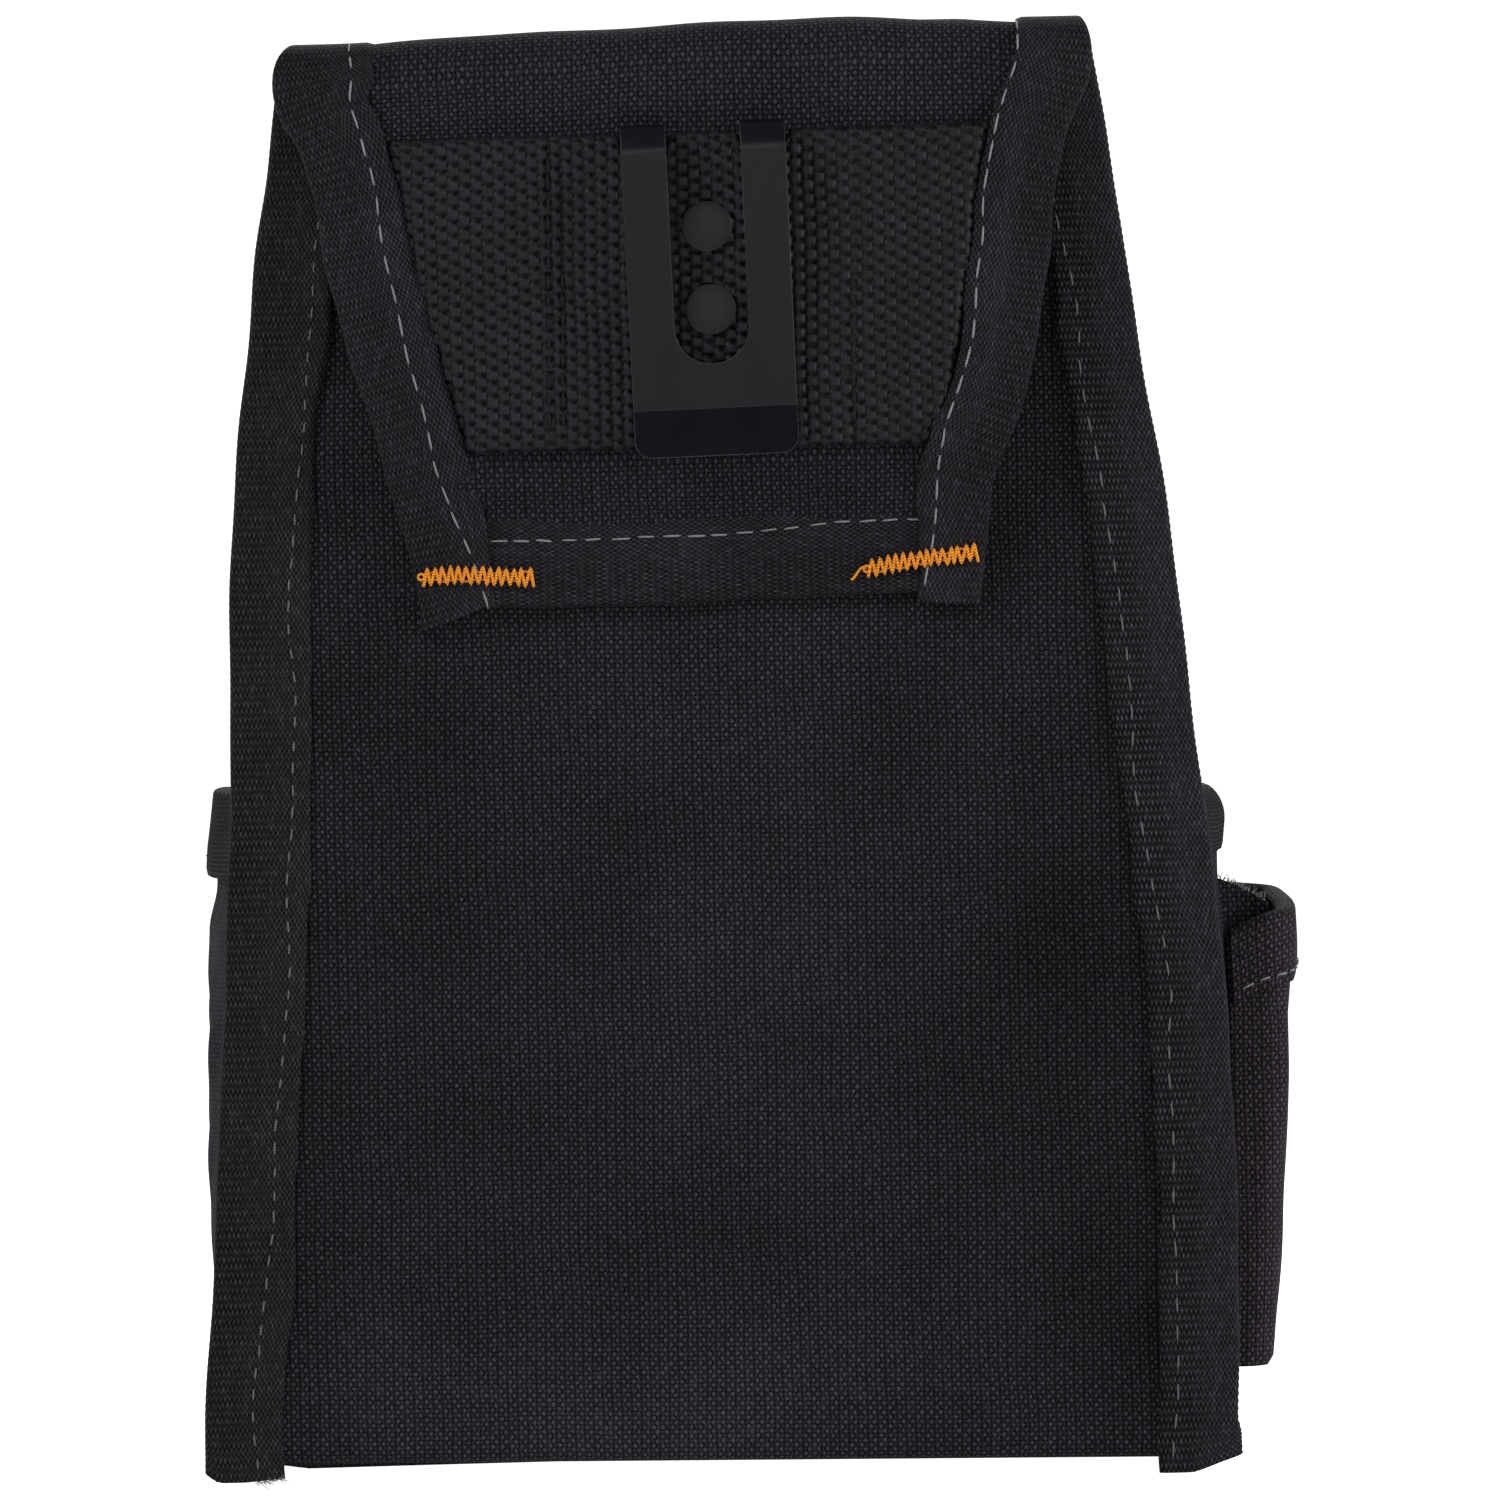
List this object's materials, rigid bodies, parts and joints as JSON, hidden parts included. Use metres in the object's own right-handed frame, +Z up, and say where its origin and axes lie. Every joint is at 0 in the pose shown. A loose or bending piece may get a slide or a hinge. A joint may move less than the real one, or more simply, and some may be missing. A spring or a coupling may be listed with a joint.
{
  "type": "electrician tool pouch",
  "caption": "Soft belt pouch with a main compartment, front bays, a side pocket, a belt tunnel flap and a sprung steel belt clip.",
  "frame": {"origin": "centre of the flat part of the base, on the floor", "axes": "+Z up as worn, -Y towards the wearer's belt, +X towards the side pocket"},
  "size_m": [0.1821, 0.0997, 0.237],
  "materials": {
    "pouch_fabric": "matt woven polyester",
    "lining": "matt woven polyester",
    "binding_tape": "ribbed woven tape",
    "webbing": "coarse woven webbing",
    "grey_thread": "spun thread",
    "orange_thread": "glossy thread",
    "stiffener_board": "matt board",
    "clip_steel": "satin black",
    "rivet_steel": "satin black"
  },
  "bodies": {
    "pouch": {"back_binding_left": "binding_tape", "back_binding_right": "binding_tape", "back_lining": "lining", "back_panel": "pouch_fabric", "back_stiffener": "stiffener_board", "bar_tack_left": "orange_thread", "bar_tack_right": "orange_thread", "belt_flap": "pouch_fabric", "bottom_panel": "pouch_fabric", "clip_back_plate": "clip_steel", "clip_rivets": "rivet_steel", "flap_binding_left": "binding_tape", "flap_binding_right": "binding_tape", "flap_hem_binding": "binding_tape", "front_binding_left": "binding_tape", "front_binding_right": "binding_tape", "front_panel": "pouch_fabric", "front_pocket": "pouch_fabric", "front_pocket_rim_binding": "binding_tape", "left_gusset": "pouch_fabric", "main_rim_binding": "binding_tape", "right_gusset": "pouch_fabric", "rivet_washers": "rivet_steel", "side_pocket_base": "pouch_fabric", "side_pocket_facing": "pouch_fabric", "side_pocket_hem": "pouch_fabric", "side_pocket_wall": "pouch_fabric", "webbing_band": "webbing"},
    "tongue": {"clip_tongue": "clip_steel"}
  },
  "joints": [
    {"name": "clip_flex", "type": "hinge", "parent": "pouch", "child": "tongue", "pos_m": [0.00181, -0.05362, 0.21441], "axis": [-0.9997, 0.0014, -0.0244], "range_deg": [0, 8], "stiffness_Nm_per_rad": 2}
  ]
}
